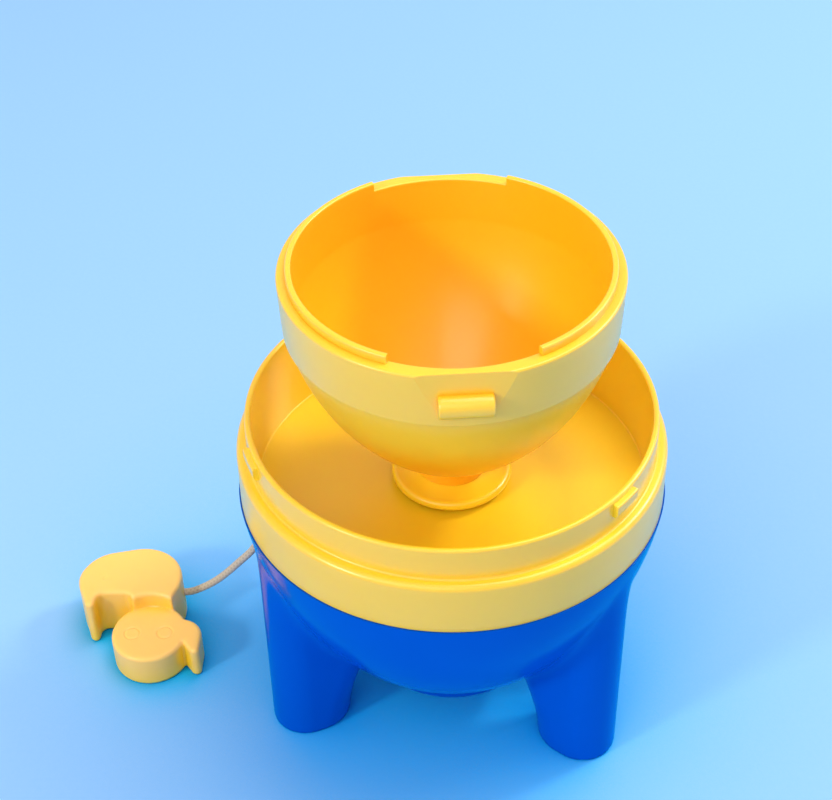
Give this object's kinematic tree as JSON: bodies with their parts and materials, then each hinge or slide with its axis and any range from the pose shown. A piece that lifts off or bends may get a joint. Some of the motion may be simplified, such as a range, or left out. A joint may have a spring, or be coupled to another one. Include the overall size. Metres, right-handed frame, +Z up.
{
  "type": "egg yolk spinner",
  "caption": "Hand-pulled spinner for mixing an egg in its shell: a round cup on a spindle over a dished deck, on a three-legged base, with a cord and a duck-shaped pull.",
  "frame": {"origin": "on the cup's spin axis, at the height of the table that the feet stand on", "axes": "+Z up along the spin axis; -Y towards the front, where the cup's latch is; the cord leaves towards -X"},
  "size_m": [0.1232, 0.0828, 0.1066],
  "materials": {
    "blue_plastic": "glossy blue",
    "yellow_plastic": "glossy yellow",
    "cream_plastic": "soft gloss pale yellow",
    "white_plastic": "natural",
    "nylon": "natural",
    "plated_steel": "zinc plated",
    "spring_steel": "bright drawn",
    "cord": "braided"
  },
  "bodies": {
    "base": {"base_shell": "blue_plastic", "deck_collar": "yellow_plastic", "bottom_cap": "blue_plastic", "upper_bush": "nylon", "lower_bush": "nylon", "drum_frame": "white_plastic", "spring_cover": "white_plastic", "mainspring": "spring_steel", "frame_screws": "plated_steel", "cover_screws": "plated_steel", "shell_screws": "plated_steel", "cord_eyelet": "plated_steel", "cord_free": "cord"},
    "rotor": {"spindle": "spring_steel", "retaining_ring": "spring_steel", "thrust_washers": "nylon", "drum_washer": "nylon", "cord_drum": "white_plastic", "drum_pin": "plated_steel", "cord_winding": "cord", "drive_hub": "yellow_plastic", "egg_cup": "yellow_plastic", "cup_screw": "plated_steel"},
    "pull": {"pull_duck": "cream_plastic", "cord_knot": "cord"}
  },
  "joints": [
    {"name": "rotor_spin", "type": "hinge", "parent": "base", "child": "rotor", "pos_m": [0, 0, 0], "axis": [0, 0, 1], "range_deg": [0, 2015.4], "deforming": ["mainspring"]},
    {"name": "pull_slide", "type": "slide", "parent": "base", "child": "pull", "axis": [-1, 0, 0], "range_m": [0, 0.351], "stiffness_N_per_m": 12, "springref_m": -0.05, "deforming": ["cord_free"]}
  ],
  "couplings": [
    {"joint": "pull_slide", "follows": "rotor_spin", "m_per_rad": 0.00995}
  ]
}
